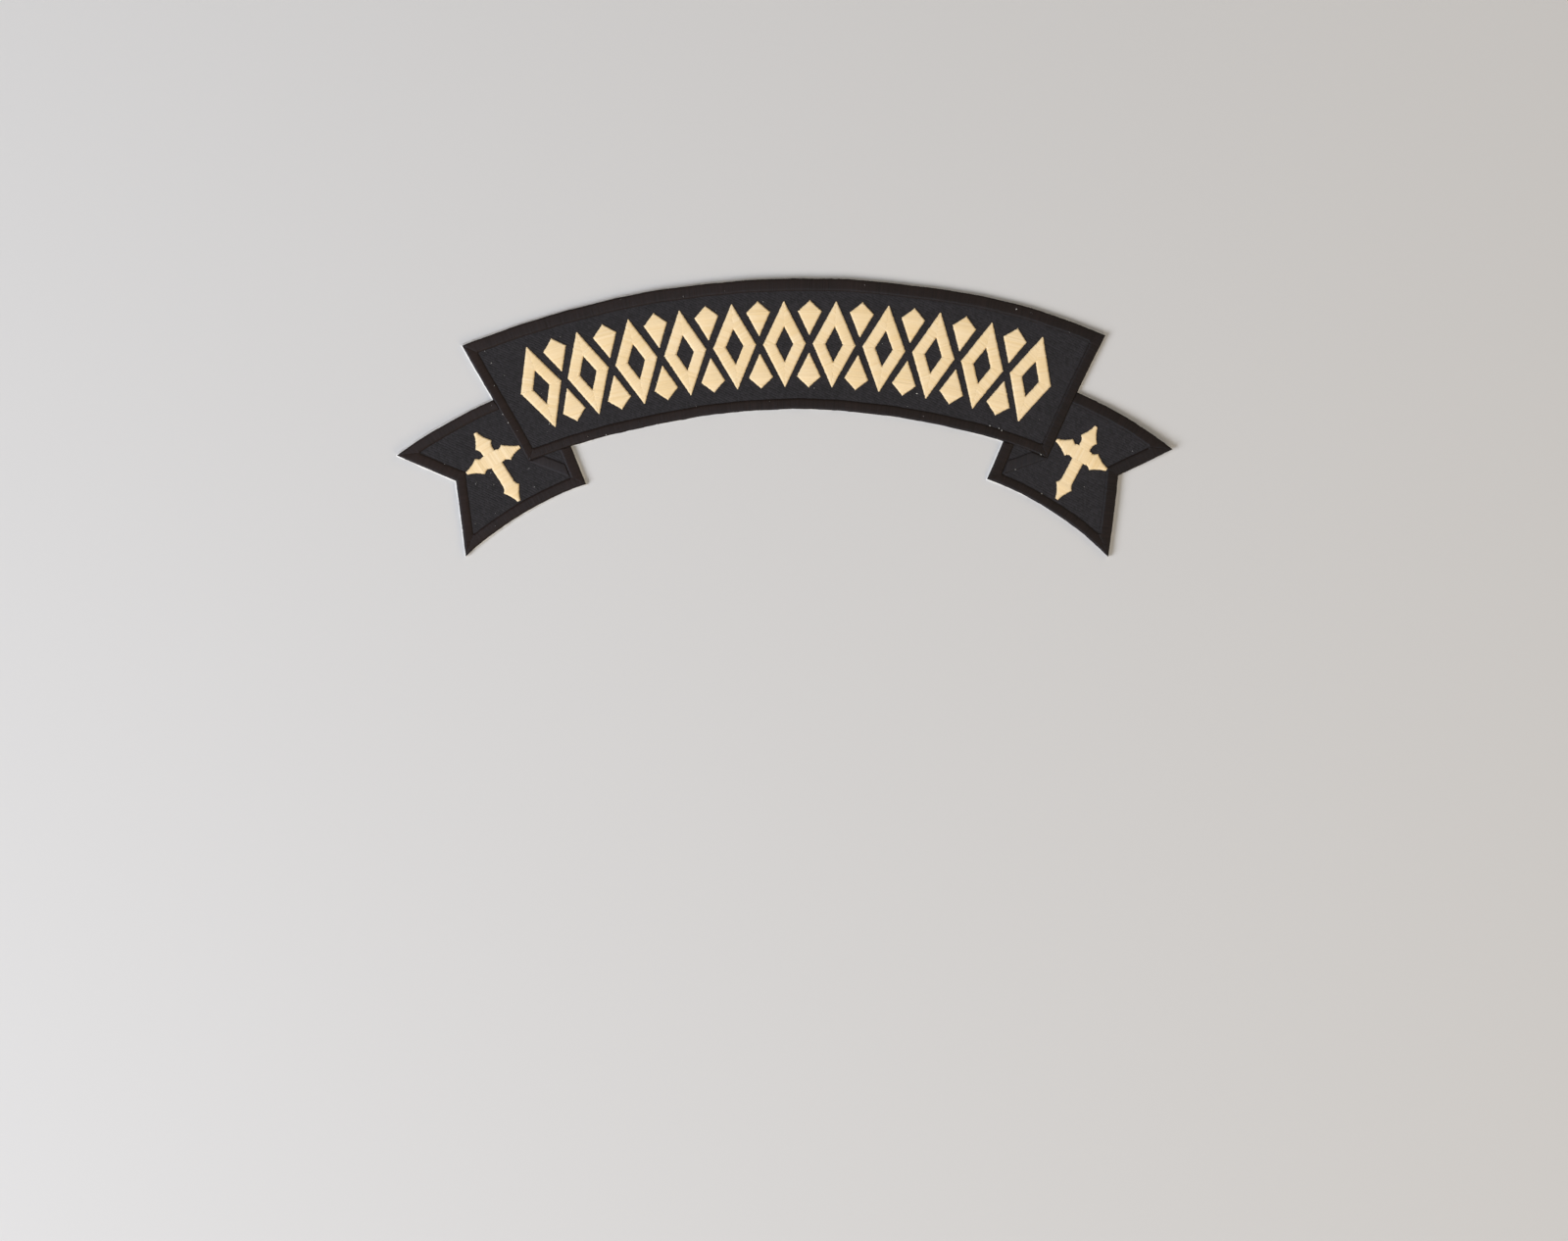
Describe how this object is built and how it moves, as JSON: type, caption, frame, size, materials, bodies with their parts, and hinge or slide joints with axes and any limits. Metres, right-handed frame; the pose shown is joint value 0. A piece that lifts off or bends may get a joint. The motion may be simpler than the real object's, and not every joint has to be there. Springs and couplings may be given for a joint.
{
  "type": "rocker patch",
  "caption": "Flat arched embroidered back patch: a banner with swallow-tailed ribbon ends behind it, satin borders, an ornament row and a cross on each ribbon end.",
  "frame": {"origin": "middle of the underside: the centre of the bounding box, on the plane that the patch rests on", "axes": "+X along the width of the patch, +Y in its plane towards the crown of the arch, +Z out of the stitched face"},
  "size_m": [0.3056, 0.11, 0.0022],
  "materials": {
    "backing": "matt pale non-woven backing with a heat-seal film, seen as a thin rim at the cut edge",
    "twill": "matt black polyester twill with a fine flat weave",
    "border_thread": "black satin-stitched embroidery thread with a soft sheen across the stitches",
    "motif_thread": "cream satin-stitched embroidery thread with a soft sheen"
  },
  "bodies": {
    "root": {"backing": "backing", "banner_border": "border_thread", "left_cross": "motif_thread", "left_fold_band": "border_thread", "left_tail_border": "border_thread", "lower_dart_01": "motif_thread", "lower_dart_02": "motif_thread", "lower_dart_03": "motif_thread", "lower_dart_04": "motif_thread", "lower_dart_05": "motif_thread", "lower_dart_06": "motif_thread", "lower_dart_07": "motif_thread", "lower_dart_08": "motif_thread", "lower_dart_09": "motif_thread", "lower_dart_10": "motif_thread", "lozenge_01": "motif_thread", "lozenge_02": "motif_thread", "lozenge_03": "motif_thread", "lozenge_04": "motif_thread", "lozenge_05": "motif_thread", "lozenge_06": "motif_thread", "lozenge_07": "motif_thread", "lozenge_08": "motif_thread", "lozenge_09": "motif_thread", "lozenge_10": "motif_thread", "lozenge_11": "motif_thread", "right_cross": "motif_thread", "right_fold_band": "border_thread", "right_tail_border": "border_thread", "twill_ground": "twill", "upper_dart_01": "motif_thread", "upper_dart_02": "motif_thread", "upper_dart_03": "motif_thread", "upper_dart_04": "motif_thread", "upper_dart_05": "motif_thread", "upper_dart_06": "motif_thread", "upper_dart_07": "motif_thread", "upper_dart_08": "motif_thread", "upper_dart_09": "motif_thread", "upper_dart_10": "motif_thread"}
  },
  "joints": []
}
